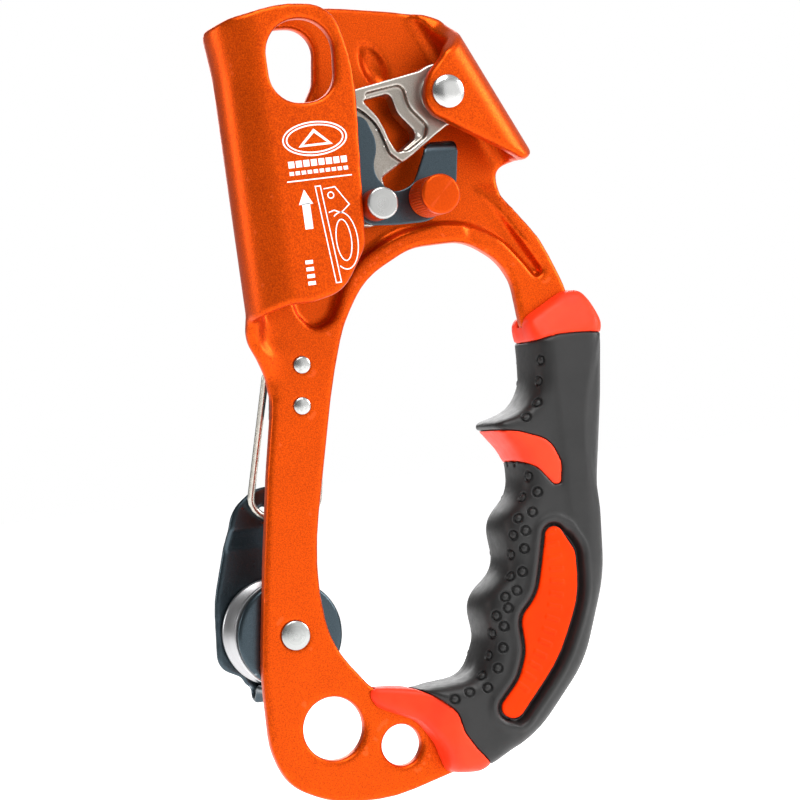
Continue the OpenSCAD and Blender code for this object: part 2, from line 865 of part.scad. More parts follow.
module axle_spacers() {
    color(silver)
        for (span = [[cheek_back, sheave_mid - bearing_w / 2],
                [sheave_mid + bearing_w / 2, rear_cheek]])
            turned(axle_at)
                translate([axle_r, span[0]])
                    square([1.6, span[1] - span[0]]);
}

module pulley_axle() {
    back = rear_cheek + cheek_t;
    color(silver) {
        pin_y(axle_at, axle_r, leg_front, back);
        dome(axle_at, 3.6, 0.9, leg_front);
        pin_y(axle_at, 4.6, back, back + 1.4);
    }
}

// one strip of steel: a round cheek behind the leg, a folded bridge below and a rear plate
module pulley_bracket() {
    front = cheek_front;
    back = rear_cheek + cheek_t;
    t = cheek_t;
    side_profile = [
        [rear_cheek, 9.6], [rear_cheek, 45.6], [rear_cheek - tip_step, 50.4],
        [rear_cheek - tip_step, 62], [back - tip_step, 62], [back - tip_step, 51.2],
        [back, 46.4], [back, 9.6]];
    bridge = [
        [back, 12], [back, 7.6, 2], [back - 3.4, 6.4, 2], [14.6, 9.6, 2], [8.6, 9.6, 2],
        [front + 3.4, 6.4, 2], [front, 7.6, 2], [front, 12], [front + t, 12], [front + t, 9.2, 1],
        [front + 3.6, 8.4, 1], [8.2, 11.6, 2], [15, 11.6, 2], [back - 3.6, 8.4, 1],
        [rear_cheek, 9.2, 1], [rear_cheek, 12]];
    color(gunmetal)
        difference() {
            union() {
                pin_y(axle_at, cheek_r, front, cheek_back);
                slab(front, cheek_back)
                    translate([-14.4, 9.6])
                        square([14, 6]);
                intersection() {
                    slab_of(bracket_outer, 10, 30);
                    translate([-40, 0, 0])
                        rotate([90, 0, 90])
                            linear_extrude(80)
                                polygon(side_profile);
                }
                translate([-14.4, 0, 0])
                    rotate([90, 0, 90])
                        linear_extrude(14)
                            polygon(rounded([for (p = bridge)
                                [p[0], p[1], len(p) > 2 ? p[2] : 0.01]]));
            }
            pin_y(axle_at, axle_r, front - 1, back + 1);
            pin_y([-7.2, 54.4], 1.2, 10, 30);
        }
}

// ---- gate ----

module gate_frame() {
    lean_about(block_at, block_lean)
        translate([-block_at.x, 0, -block_at.y])
            children();
}

module gate_wire() {
    r = wire_d / 2;
    top = gate_pivot[1];
    y0 = gate_pivot[0];
    low = top - gate_len;
    bend = 5.6;
    drop = tan(gate_tilt);
    mid = block_at.x;
    right = [for (p = [[3, top], [gate_half - 1.2, top], [gate_half - 0.4, top - 0.3],
        [gate_half, top - 1.2], [gate_half + gate_spread, low + bend]])
        [mid + p.x, y0 + (top - p.y) * drop, p.y]];
    round_end = [for (a = [0:15:180])
        [mid + (gate_half + gate_spread) * cos(a), y0 + (top - (low + bend * (1 - sin(a)))) * drop,
            low + bend * (1 - sin(a))]];
    left = [for (i = [len(right) - 2:-1:0]) [2 * mid - right[i].x, right[i].y, right[i].z]];
    color(silver)
        gate_frame()
            wire_path(concat([for (i = [0:3]) right[i]], round_end, left), r, 12);
}

module gate_block() {
    hole = wire_d / 2 + running;
    color(gunmetal)
        difference() {
            gate_frame()
                difference() {
                    translate([block_at.x - block_w / 2, leg_back, block_at.y - block_drop])
                        cube([block_w, block_t, block_h]);
                    translate([block_at.x - 12, gate_pivot[0], gate_pivot[1]])
                        rotate([0, 90, 0])
                            cylinder(r = hole, h = 2 * block_w);
                }
            pin_y(rivet_low, rivet_r, leg_back - 1, 12);
            pin_y(rivet_high, rivet_r, leg_back - 1, 12);
        }
}

module gate_rivets() {
    color(silver)
        for (at = [rivet_low, rivet_high]) {
            pin_y(at, rivet_r, leg_front, leg_back + block_t);
            dome(at, 2.1, 0.8, leg_front);
            pin_y(at, 2.2, leg_back + block_t, leg_back + block_t + 0.8);
        }
}

frame();
grip_body();
grip_top_collar();
grip_bottom_collar();
finger_insert();
badge_front();
badge_back();
cam();
cam_rivet();
cam_spring();
trigger();
trigger_pin();
trigger_collar();
trigger_spring();
knob();
knob_stud();
sheave();
bearing_outer_ring();
bearing_inner_ring();
bearing_balls();
bearing_seals();
axle_spacers();
pulley_axle();
pulley_bracket();
gate_wire();
gate_block();
gate_rivets();
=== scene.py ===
"""The looks of a handled rope ascender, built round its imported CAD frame.

Most skins are drawn from the CAD solids' own distance fields: edges are rounded, inside corners are
filled and small details are carved, then the field is meshed again. Lengths in the modelling code
are millimetres, and every mesh is scaled to metres when it is made.
"""
import math

import bpy
import numpy as np
import openvdb as vdb
from mathutils import Matrix, Vector


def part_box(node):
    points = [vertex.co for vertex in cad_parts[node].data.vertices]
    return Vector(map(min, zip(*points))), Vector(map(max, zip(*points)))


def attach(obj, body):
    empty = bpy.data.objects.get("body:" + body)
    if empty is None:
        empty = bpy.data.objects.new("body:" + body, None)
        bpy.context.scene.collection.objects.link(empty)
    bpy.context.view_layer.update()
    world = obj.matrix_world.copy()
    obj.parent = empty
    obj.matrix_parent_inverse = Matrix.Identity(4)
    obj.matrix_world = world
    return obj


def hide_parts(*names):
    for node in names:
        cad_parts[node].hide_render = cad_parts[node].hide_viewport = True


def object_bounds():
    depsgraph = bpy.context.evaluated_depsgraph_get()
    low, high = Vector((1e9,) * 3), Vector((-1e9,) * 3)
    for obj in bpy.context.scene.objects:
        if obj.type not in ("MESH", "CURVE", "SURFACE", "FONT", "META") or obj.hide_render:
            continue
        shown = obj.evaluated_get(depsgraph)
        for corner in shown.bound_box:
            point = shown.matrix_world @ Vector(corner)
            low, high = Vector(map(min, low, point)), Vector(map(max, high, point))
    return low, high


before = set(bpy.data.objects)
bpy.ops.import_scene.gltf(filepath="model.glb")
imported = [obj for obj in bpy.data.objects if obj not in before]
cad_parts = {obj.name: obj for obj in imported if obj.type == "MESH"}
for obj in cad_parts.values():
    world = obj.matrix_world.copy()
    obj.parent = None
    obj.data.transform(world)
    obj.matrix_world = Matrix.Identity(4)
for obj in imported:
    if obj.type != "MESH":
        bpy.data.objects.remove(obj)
cad_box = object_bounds()

MM = 0.001
COARSE = 1.0


# ---- distance fields ----

def cad_mesh(nodes):
    """The joined triangles of some CAD nodes, in millimetres."""
    points, corners, base = [], [], 0
    for node in nodes:
        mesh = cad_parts[node].data
        co = np.empty(len(mesh.vertices) * 3, np.float32)
        mesh.vertices.foreach_get("co", co)
        mesh.calc_loop_triangles()
        tri = np.empty(len(mesh.loop_triangles) * 3, np.int32)
        mesh.loop_triangles.foreach_get("vertices", tri)
        points.append(co.reshape(-1, 3) / MM)
        corners.append(tri.reshape(-1, 3) + base)
        base += len(mesh.vertices)
    return np.vstack(points).astype(np.float32), np.vstack(corners).astype(np.uint32)


def level_set(points, faces, h, band):
    """A narrow band signed distance grid round a closed mesh, on a grid of pitch h."""
    kind = "quads" if faces.shape[1] == 4 else "triangles"
    return vdb.FloatGrid.createLevelSetFromPolygons(
        points, transform=vdb.createLinearTransform(voxelSize=h), halfWidth=band, **{kind: faces})


def contour(grid, level):
    """The grid's surface at a level, as points and quads."""
    points, _, quads = grid.convertToPolygons(isovalue=level)
    return points, quads


def eased(points, faces, h, edge, fillet):
    """The solid with its edges rounded to radius edge and its inside corners filled to radius fillet."""
    band = 3 + math.ceil((edge + fillet) / h)
    grid = level_set(points, faces, h, band)
    grown, level = 0.0, 0.0
    for reach in (fillet, -edge, 0.0):
        level = reach - grown
        if abs(level) > 1e-6:
            points, faces = contour(grid, level)
            grid = level_set(points, faces, h, band)
            grown = reach
    return grid


class Field:
    """A signed distance on a regular grid, negative inside, with helpers that carve it."""

    def __init__(self, h, low, high):
        self.h = h
        self.start = np.floor(np.array(low) / h).astype(int)
        self.shape = np.ceil(np.array(high) / h).astype(int) - self.start + 1
        self.d = None

    def read(self, grid):
        """A sparse grid's values over this field's box."""
        values = np.empty(tuple(self.shape), np.float32)
        grid.copyToArray(values, ijk=tuple(int(i) for i in self.start))
        return values

    def axes(self):
        """The x, y and z of every point, in millimetres."""
        steps = [(self.start[k] + np.arange(self.shape[k])) * self.h for k in range(3)]
        return np.meshgrid(*[s.astype(np.float32) for s in steps], indexing="ij", sparse=True)

    def blur(self, radius):
        """Softens the whole field by a radius in millimetres."""
        self.d = blurred(self.d, radius / self.h)

    def surface(self, values=None):
        """The zero surface of this field, or of other values on its grid."""
        values = self.d if values is None else values
        grid = vdb.FloatGrid(float(values.max()))
        grid.transform = vdb.createLinearTransform(voxelSize=self.h)
        grid.copyFromArray(np.ascontiguousarray(values), ijk=tuple(int(i) for i in self.start))
        return contour(grid, 0.0)


def blurred(values, sigma):
    """A Gaussian blur along each axis in turn."""
    reach = max(1, math.ceil(2.5 * sigma))
    weights = np.exp(-0.5 * (np.arange(-reach, reach + 1) / sigma) ** 2)
    weights /= weights.sum()
    for axis in range(values.ndim):
        pad = [(reach, reach) if k == axis else (0, 0) for k in range(values.ndim)]
        wide = np.pad(values, pad, mode="edge")
        total = np.zeros_like(values)
        for i, w in enumerate(weights):
            part = [slice(None)] * values.ndim
            part[axis] = slice(i, i + values.shape[axis])
            total += np.float32(w) * wide[tuple(part)]
        values = total
    return values


def step(t):
    """A smooth step from 0 to 1."""
    t = np.clip(t, 0, 1)
    return t * t * (3 - 2 * t)


def smooth_max(a, b, k):
    """The larger of two fields, with their meeting edge rounded by about k."""
    mix = np.maximum(k - np.abs(a - b), 0) / k
    return np.maximum(a, b) + mix * mix * k / 4


# ---- pieces ----

def add_mesh(name, body, points, faces, material, replaced=()):
    """A smooth shaded piece from points in millimetres."""
    mesh = bpy.data.meshes.new(name)
    mesh.from_pydata((np.asarray(points, float) * MM).tolist(), [], [list(map(int, f)) for f in faces])
    mesh.validate()
    mesh.shade_smooth()
    piece = bpy.data.objects.new(name, mesh)
    bpy.context.scene.collection.objects.link(piece)
    mesh.materials.append(material)
    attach(piece, body)
    if replaced:
        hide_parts(*replaced)
    return piece


def outward(points, quads):
    """The quads, turned so that the mesh's volume is positive."""
    p = points[quads]
    flux = np.einsum("ij,ij->i", np.cross(p[:, 2] - p[:, 0], p[:, 3] - p[:, 1]), p[:, 0]).sum()
    return quads if flux > 0 else quads[:, ::-1]


def corners_of(nodes):
    """The low and high corners of some CAD nodes together, in millimetres."""
    lows, highs = zip(*[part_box(n) for n in nodes])
    return np.min(lows, axis=0) / MM, np.max(highs, axis=0) / MM


def field_of(nodes, h, edge, fillet, margin=2.0):
    """The eased field of some CAD nodes."""
    h = h * COARSE
    low, high = corners_of(nodes)
    field = Field(h, low - margin, high + margin)
    field.d = field.read(eased(*cad_mesh(nodes), h, edge, fillet))
    return field


def skin(name, node, body, material, h, edge=0.0, fillet=0.0, blur=0.0, carve=None):
    """A piece that stands for one CAD node, with eased edges."""
    field = field_of([node], h, edge, fillet)
    if blur:
        field.blur(blur)
    if carve:
        carve(field)
    points, quads = field.surface()
    return add_mesh(name, body, points, outward(points, quads), material, (node,))


def lathe(name, body, at, profile, material, replaced, sides=96, shape=None):
    """A turned piece about the Y axis through at = (x, z). The profile is [radius, depth] points.
    Flat discs close its two ends, unless it comes back to its first point."""
    rings = np.array(profile, float)
    hollow = bool(np.allclose(rings[0], rings[-1]))
    rings = rings[:len(rings) - hollow]
    rings[:, 0] = np.maximum(rings[:, 0], 0.15)  # the end discs keep a small flat middle
    angle = np.linspace(0, 2 * math.pi, sides, endpoint=False)
    radius, depth = rings[:, :1] + 0 * angle, rings[:, 1:] + 0 * angle
    if shape:
        radius = shape(radius, depth, angle)
    points = np.stack([at[0] + radius * np.cos(angle), depth, at[1] + radius * np.sin(angle)], axis=2)
    points = points.reshape(-1, 3)
    count, k = len(rings), np.arange(sides)
    after = np.roll(k, -1)
    spans = [(i * sides, (i + 1) % count * sides) for i in range(count if hollow else count - 1)]
    walls = np.vstack([np.stack([a + k, b + k, b + after, a + after], axis=1) for a, b in spans])
    turned = outward(points, walls)
    first, last = k.tolist(), ((count - 1) * sides + k).tolist()
    caps = [first, last[::-1]] if turned is walls else [first[::-1], last]
    faces = turned.tolist() + ([] if hollow else caps)
    return add_mesh(name, body, points, faces, material, replaced)


def bead(points, steps=6):
    """A profile whose middle corners, given as (radius, depth, rounding), are rounded off."""
    out = []
    for i, point in enumerate(points):
        r = point[2] if len(point) > 2 else 0
        q = np.array(point[:2], float)
        if r <= 0 or i in (0, len(points) - 1):
            out.append(q)
            continue
        a = np.array(points[i - 1][:2], float) - q
        b = np.array(points[i + 1][:2], float) - q
        a, b = a / np.linalg.norm(a), b / np.linalg.norm(b)
        for t in np.linspace(0, 1, steps):
            out.append(q + r * ((1 - t) ** 2 * a + t ** 2 * b))
    return [tuple(p) for p in out]


# ---- materials ----

def node_tree(name):
    """A new material's nodes, links and shader."""
    material = bpy.data.materials.new(name)
    material.use_nodes = True
    tree = material.node_tree
    return material, tree, tree.nodes["Principled BSDF"]


def make(tree, kind, **values):
    """A node with its sockets and properties set by name."""
    node = tree.nodes.new(kind)
    for key, value in values.items():
        if key in node.inputs:
            node.inputs[key].default_value = value
        else:
            setattr(node, key, value)
    return node


def noise(tree, vector, size, detail=2.0, roughness=0.55):
    """Noise whose features are about size millimetres."""
    node = make(tree, "ShaderNodeTexNoise", Scale=1 / (size * MM), Detail=detail, Roughness=roughness)
    tree.links.new(vector, node.inputs["Vector"])
    return node.outputs["Fac"]


def ramp(tree, fac, stops):
    """A colour ramp of (position, colour) stops; a number gives grey."""
    node = tree.nodes.new("ShaderNodeValToRGB")
    while len(node.color_ramp.elements) < len(stops):
        node.color_ramp.elements.new(0.5)
    for element, (position, colour) in zip(node.color_ramp.elements, stops):
        element.position = position
        element.color = (colour,) * 3 + (1,) if isinstance(colour, (int, float)) else (*colour, 1)
    tree.links.new(fac, node.inputs["Fac"])
    return node.outputs["Color"]


def blend_colours(tree, fac, a, b, mode="MIX"):
    """Two colours mixed, or combined in another mode; each may be a socket or a value."""
    node = make(tree, "ShaderNodeMix", data_type="RGBA", blend_type=mode)
    factor, first, second = node.inputs[0], node.inputs[6], node.inputs[7]
    for socket, value in ((factor, fac), (first, a), (second, b)):
        if isinstance(value, bpy.types.NodeSocket):
            tree.links.new(value, socket)
        elif socket is factor:
            socket.default_value = value
        else:
            socket.default_value = (*value, 1)
    return node.outputs[2]


def bump(tree, shader, height, strength, distance):
    """Adds a bump of a height in millimetres, after any bump that is there."""
    node = make(tree, "ShaderNodeBump", Strength=strength, Distance=distance * MM)
    tree.links.new(height, node.inputs["Height"])
    before = shader.inputs["Normal"].links
    if before:
        tree.links.new(before[0].from_socket, node.inputs["Normal"])
    tree.links.new(node.outputs["Normal"], shader.inputs["Normal"])


def place(tree):
    """Coordinates that stay fixed to a piece, in metres."""
    return tree.nodes.new("ShaderNodeTexCoord").outputs["Object"]


def edges(tree, low, high):
    """0 on flat surfaces and 1 on sharp outside edges."""
    node = tree.nodes.new("ShaderNodeNewGeometry")
    return ramp(tree, node.outputs["Pointiness"], [(low, 0), (high, 1)])


def turned_place(tree, at):
    """Coordinates that run round the Y axis through at, so that noise becomes turning marks."""
    split = tree.nodes.new("ShaderNodeSeparateXYZ")
    tree.links.new(place(tree), split.inputs[0])
    flat = tree.nodes.new("ShaderNodeCombineXYZ")
    for axis, offset in (("X", at[0]), ("Z", at[1])):
        shift = make(tree, "ShaderNodeMath", operation="SUBTRACT")
        tree.links.new(split.outputs[axis], shift.inputs[0])
        shift.inputs[1].default_value = offset * MM
        tree.links.new(shift.outputs[0], flat.inputs[axis])
    length = make(tree, "ShaderNodeVectorMath", operation="LENGTH")
    tree.links.new(flat.outputs[0], length.inputs[0])
    both = tree.nodes.new("ShaderNodeCombineXYZ")
    tree.links.new(length.outputs["Value"], both.inputs["X"])
    tree.links.new(split.outputs["Y"], both.inputs["Y"])
    return both.outputs[0]


def anodised(name, dark, light, grain=0.34, rough=0.35, metal=0.72, edge_wear_and_highlight=0.3, bumps=0.3):
    """Blasted and dyed aluminium: a fine sparkle in the colour, and a paler satin edge that is wear plus a
    painted highlight along the edges.
    """
    material, tree, shader = node_tree(name)
    where = place(tree)
    speckle = ramp(tree, noise(tree, where, grain, 3, 0.7), [(0.3, dark), (0.7, light)])
    cloud = ramp(tree, noise(tree, where, 9, 2), [(0.3, 0.93), (0.7, 1.0)])
    colour = blend_colours(tree, 1.0, speckle, cloud, "MULTIPLY")
    paler_wear_and_highlight = tuple(min(1.0, c * 1.12 + 0.03) for c in light)
    # outside edges are painted paler: partly wear, partly a painted highlight along the edges
    edge = edges(tree, 0.53, 0.62)
    half = make(tree, "ShaderNodeMath", operation="MULTIPLY")
    tree.links.new(edge, half.inputs[0])
    half.inputs[1].default_value = edge_wear_and_highlight
    colour = blend_colours(tree, half.outputs[0], colour, paler_wear_and_highlight)
    tree.links.new(colour, shader.inputs["Base Color"])
    gloss = ramp(tree, noise(tree, where, grain * 1.6, 2), [(0.25, rough - 0.06), (0.75, rough + 0.07)])
    tree.links.new(gloss, shader.inputs["Roughness"])
    shader.inputs["Metallic"].default_value = metal
    shader.inputs["Specular IOR Level"].default_value = 0.1
    shader.inputs["Coat Weight"].default_value = 0.05
    shader.inputs["Coat Roughness"].default_value = 0.34
    bump(tree, shader, noise(tree, where, grain, 3), bumps, 0.02)
    return material


def soft_plastic(name, dark, light, rough, grain, shine=0.3):
    """Moulded rubber or soft plastic with a fine spark-eroded texture and faint moulding flow."""
    material, tree, shader = node_tree(name)
    where = place(tree)
    flow = noise(tree, where, 7, 3)
    colour = ramp(tree, flow, [(0.3, dark), (0.7, light)])
    tree.links.new(colour, shader.inputs["Base Color"])
    gloss = ramp(tree, noise(tree, where, 1.8, 3), [(0.3, rough - 0.05), (0.7, rough + 0.06)])
    tree.links.new(gloss, shader.inputs["Roughness"])
    shader.inputs["Specular IOR Level"].default_value = shine
    bump(tree, shader, noise(tree, where, grain, 2, 0.6), 0.5, 0.025)
    bump(tree, shader, noise(tree, where, 3.5, 2), 0.25, 0.05)
    return material


def plated(name, base, rough, grain, bright=None, spread=0.06, strength=0.3, low=0.52, high=0.6):
    """Plated or cast metal: a fine mottle, and outside edges painted bright where bright is given, as
    polished wear plus a painted edge highlight.
    """
    material, tree, shader = node_tree(name)
    where = place(tree)
    mottle = noise(tree, where, grain, 4, 0.65)
    dark = tuple(c * 0.8 for c in base)
    light = tuple(min(1.0, c * 1.15) for c in base)
    colour = ramp(tree, mottle, [(0.3, dark), (0.7, light)])
    gloss = ramp(tree, mottle, [(0.3, rough + spread), (0.7, rough - spread)])
    if bright:
        # the bright edge colour is polished wear plus a painted highlight along the outside edges
        edge = edges(tree, low, high)
        colour = blend_colours(tree, edge, colour, bright)
        gloss = blend_colours(tree, edge, gloss, (0.16,) * 3)
    tree.links.new(colour, shader.inputs["Base Color"])
    tree.links.new(gloss, shader.inputs["Roughness"])
    shader.inputs["Metallic"].default_value = 1.0
    bump(tree, shader, noise(tree, where, grain, 3), strength, 0.02)
    return material


def turned_metal(name, at, base, rough, pitch=0.12, strength=0.4):
    """Lathe-turned metal with fine rings round its axis."""
    material, tree, shader = node_tree(name)
    rings = noise(tree, turned_place(tree, at), pitch, 3, 0.6)
    colour = ramp(tree, rings, [(0.3, tuple(c * 0.86 for c in base)), (0.7, base)])
    tree.links.new(colour, shader.inputs["Base Color"])
    gloss = ramp(tree, noise(tree, place(tree), 2.5, 3), [(0.3, rough - 0.02), (0.7, rough + 0.03)])
    tree.links.new(gloss, shader.inputs["Roughness"])
    shader.inputs["Metallic"].default_value = 1.0
    bump(tree, shader, rings, strength, 0.008)
    return material


body_orange = anodised("anodised_orange", (0.42, 0.033, 0.0005), (0.88, 0.1, 0.001))
knob_orange = anodised("anodised_knob", (0.56, 0.05, 0.0008), (0.7, 0.072, 0.001), grain=0.4, rough=0.33,
                       bumps=0.12)
grip_rubber = soft_plastic("grip_rubber", (0.009, 0.009, 0.009), (0.014, 0.0135, 0.0135), rough=0.45,
                           grain=0.16, shine=0.42)
soft_orange = soft_plastic("soft_orange", (0.92, 0.038, 0.009), (1.0, 0.05, 0.012), rough=0.45,
                           grain=0.2, shine=0.2)
badge_orange = soft_plastic("badge_orange", (0.9, 0.032, 0.0003), (0.97, 0.04, 0.0005), rough=0.42,
                            grain=0.25, shine=0.06)
# the bright= edge colours of dark_steel and cast_nickel are polished wear plus a painted edge highlight
dark_steel = plated("dark_steel", (0.056, 0.076, 0.09), rough=0.32, grain=0.3, bright=(0.2, 0.23, 0.25),
                    low=0.55, high=0.66)
cast_nickel = plated("cast_nickel", (0.33, 0.3, 0.265), rough=0.38, grain=0.3, bright=(0.9, 0.86, 0.8),
                     low=0.51, high=0.57)
bright_steel = plated("bright_steel", (0.5, 0.5, 0.49), rough=0.24, grain=0.8, strength=0.12)
spring_steel = plated("spring_steel", (0.5, 0.47, 0.42), rough=0.28, grain=2.0, spread=0.03, strength=0.03)
seal_rubber = soft_plastic("seal_rubber", (0.02, 0.02, 0.02), (0.035, 0.035, 0.035), rough=0.5, grain=0.2)


# ---- the frame ----

def centre_of(node):
    """The middle of a CAD node's box, in millimetres."""
    low, high = corners_of([node])
    return (low + high) / 2


PLATE = 4.0  # the frame's wall
POCKET = 3.0  # how far the wall behind the cam is set back
WALL_FRONT = POCKET - PLATE / 2
DIMPLE = dict(x=29.9, z=161.4, half_w=3.1, half_h=5.9, deep=2.3, lean=math.radians(21))
# the hollow in the channel's foot, and the stretch over which the foot runs softly into the leg
BOWL = dict(x=-4.2, y=-6.0, z=96.5, half_x=4.9, half_y=3.8, half_z=6.5)
FOOT_LOW, FOOT_HIGH, FOOT_RIGHT, FOOT_FADE, FOOT_BLUR = 80, 103, 0.8, 3, 0.9


def carve_frame(field):
    """The pressed dimple behind the cam, and the hollow and soft run of the channel's foot."""
    x, y, z = field.axes()
    c, s = math.cos(DIMPLE["lean"]), math.sin(DIMPLE["lean"])
    u = (x - DIMPLE["x"]) * c + (z - DIMPLE["z"]) * s
    w = (z - DIMPLE["z"]) * c - (x - DIMPLE["x"]) * s
    oval = np.sqrt((u / DIMPLE["half_w"]) ** 2 + (w / DIMPLE["half_h"]) ** 2)
    # the wall is whole round the dimple, which is then pressed in
    wall = np.abs(y - WALL_FRONT - PLATE / 2) - PLATE / 2
    field.d = np.minimum(field.d, np.maximum(wall, (oval - 1.3) * DIMPLE["half_w"]))
    dimple = (np.sqrt(oval ** 2 + ((y - WALL_FRONT + 0.4) / DIMPLE["deep"]) ** 2) - 1) * 2.0
    field.d = smooth_max(field.d, -dimple, 0.9)
    bowl = np.sqrt(((x - BOWL["x"]) / BOWL["half_x"]) ** 2 + ((y - BOWL["y"]) / BOWL["half_y"]) ** 2
                   + ((z - BOWL["z"]) / BOWL["half_z"]) ** 2) - 1
    field.d = smooth_max(field.d, -BOWL["half_y"] * bowl, 0.8)
    soft = blurred(field.d, FOOT_BLUR / field.h)
    share = step((z - FOOT_LOW) / FOOT_FADE) * step((FOOT_HIGH - z) / FOOT_FADE)
    share = share * step((FOOT_RIGHT - x) / FOOT_FADE)
    field.d += share * (soft - field.d)


FRAME_EDGE, FRAME_FILLET, MOUTH_OPENS = 0.65, 1.0, 1.25
field = field_of(["frame"], 0.4, FRAME_EDGE, FRAME_FILLET)
carve_frame(field)
field.blur(0.25)
points, quads = field.surface()
x, z = points[:, 0], points[:, 2]
mouth = step((z - 158) / 18) * step((-4.5 - x) / 4)
points[:, 0] -= MOUTH_OPENS * mouth  # the channel's mouth opens out a little
add_mesh("frame_skin", "frame_body", points, outward(points, quads), body_orange,
         ("frame",))


# ---- the grip ----

GRIP_PARTS = ["grip_body", "grip_top_collar", "grip_bottom_collar", "finger_insert"]
BADGES = ["badge_front", "badge_back"]
# two rows of grip studs: each runs along a smooth line, as corners (x, z)
STUD_ROWS = [
    [(56.2, 62.6), (54.8, 56), (51.5, 48.4), (48.2, 42), (47.7, 34), (45.2, 28.4), (41.1, 22.4), (40.1, 15),
     (36.4, 7.8), (31, 4.4), (26, 3.2)],
    [(56.8, 54.4), (54.4, 47.6), (51.2, 42.4), (50.6, 35), (48.2, 28.8), (44, 23.6), (42.8, 15), (39.4, 7.4),
     (35.4, 3.8)]]
THUMB_STUDS = [(61.2, 84.6), (60.2, 79.2), (58.9, 74.4), (55.6, 71)]
STUD_PITCH = 5.05
RING_R, RING_WIDTH, RING_DEPTH = 1.1, 0.26, 0.6  # the groove round each stud
STUD_RISE = 0.15  # how far each stud's middle stands up
BADGE_MIDDLE = [(-4, 42), (0, 45), (8, 51), (18, 56.5), (30, 59.5), (46, 61.5)]  # (z, x)


def along(corners, pitch, start):
    """Places a pitch apart along a smooth line through corners."""
    line = np.array(corners, float)
    for _ in range(3):  # corner cutting
        cut = np.empty((2 * len(line) - 2, 2))
        cut[0::2] = 0.75 * line[:-1] + 0.25 * line[1:]
        cut[1::2] = 0.25 * line[:-1] + 0.75 * line[1:]
        line = np.vstack([line[:1], cut, line[-1:]])
    reach = np.concatenate([[0], np.cumsum(np.linalg.norm(np.diff(line, axis=0), axis=1))])
    spots = np.arange(start, reach[-1], pitch)
    return np.stack([np.interp(spots, reach, line[:, k]) for k in range(2)], axis=1)


def grip_field():
    """The grip's whole soft shape, and the distance field of each CAD piece round it."""
    names = GRIP_PARTS + BADGES + ["frame"]
    low, high = corners_of(GRIP_PARTS)
    field = Field(0.4 * COARSE, low - 1.6, high + 1.6)
    near = {n: field.read(level_set(*cad_mesh([n]), field.h, 10)) for n in names}
    field.d = np.minimum.reduce(list(near.values()))
    field.blur(0.9)
    return field, near


def carve_grip(field, near):
    """The badge's groove and lip, and the sculpted shoulder."""
    x, y, z = field.axes()
    middle = np.interp(z.ravel(), *zip(*BADGE_MIDDLE)).astype(np.float32).reshape(z.shape)
    right = step((x - middle - 1) / 3)  # the groove is wider on the palm's side
    for node in BADGES:
        cy = centre_of(node)[1]
        j = int(round(cy / field.h)) - field.start[1]
        out = near[node][:, j:j + 1, :]  # flat distance from the badge's outline
        face = step((np.sign(cy) * y - 5.5) / 1.5)
        groove = (1.0 + 0.5 * right) * np.exp(-((out - 0.4 - 0.6 * right) / (0.42 + 0.4 * right)) ** 2)
        lip = 0.5 * np.exp(-((out - 2.3 - 0.8 * right) / 1.0) ** 2)
        field.d += face * (groove - lip)
    crease = 70.4 + 0.0085 * np.maximum(z - 60, 0) ** 2 + 0.012 * np.maximum(60 - z, 0) ** 1.6
    slope = step((x - crease) / 2.6) * step((z - 44) / 12) * step((100 - z) / 12) * step((np.abs(y) - 4) / 3)
    field.d += 0.8 * slope


def vertex_normals(points, quads):
    """A unit normal for each point, from the quads round it."""
    p = points[quads]
    flat = np.cross(p[:, 2] - p[:, 0], p[:, 3] - p[:, 1])
    total = np.zeros_like(points)
    for k in range(4):
        np.add.at(total, quads[:, k], flat)
    return total / np.maximum(np.linalg.norm(total, axis=1), 1e-9)[:, None]


def add_studs(points, quads, parts=3, reach=1.75):
    """Cuts a ring round each stud: the quads near a stud are split finer, then pressed in."""
    spots = [p for k, row in enumerate(STUD_ROWS) for p in along(row, STUD_PITCH, 2.0 + 0.4 * k)]
    centres = []
    for x, z in spots + THUMB_STUDS:
        for side in (-1, 1):
            facing = points[points[:, 1] * side > 0]
            away = np.hypot(facing[:, 0] - x, facing[:, 2] - z)
            centres.append(facing[np.where(away < 0.7, np.abs(facing[:, 1]), -away).argmax()])

    def distance(where):
        """How far each point is from the nearest stud's middle."""
        nearest = np.full(len(where), np.inf)
        for centre in centres:
            nearest = np.minimum(nearest, ((where - centre) ** 2).sum(axis=1))
        return np.sqrt(nearest)

    normals = vertex_normals(points, quads)
    middle = points[quads].mean(axis=1)
    near = distance(middle) < reach
    p, n = points[quads[near]], normals[quads[near]]
    t = np.linspace(0, 1, parts + 1)
    weights = [np.outer(*w).ravel() for w in ((1 - t, 1 - t), (t, 1 - t), (t, t), (1 - t, t))]
    p = sum(w[None, :, None] * p[:, k, None] for k, w in enumerate(weights)).reshape(-1, 3)
    n = sum(w[None, :, None] * n[:, k, None] for k, w in enumerate(weights)).reshape(-1, 3)
    n /= np.linalg.norm(n, axis=1)[:, None]
    rho = distance(p)
    pressed = RING_DEPTH * np.exp(-((rho - RING_R) / RING_WIDTH) ** 2)
    pressed -= STUD_RISE * np.exp(-(rho / 0.6) ** 2)
    pressed *= step((reach - 0.1 - rho) / 0.3)
    i, j = (v.ravel() for v in np.meshgrid(np.arange(parts), np.arange(parts), indexing="ij"))
    k = i * (parts + 1) + j
    cell = np.stack([k, k + parts + 1, k + parts + 2, k + 1], axis=1)
    fine = (cell[None] + (np.arange(near.sum()) * (parts + 1) ** 2)[:, None, None]).reshape(-1, 4)
    kept = quads[~near]
    every = np.vstack([points, p])
    _, first, merged = np.unique(np.round(every, 3), axis=0, return_index=True, return_inverse=True)
    moved = every.copy()
    moved[len(points):] -= n * pressed[:, None]
    merged = merged.ravel()
    shaped = np.zeros((len(first), 3))
    shaped[merged] = moved
    return shaped, merged[np.vstack([kept, fine + len(points)])]


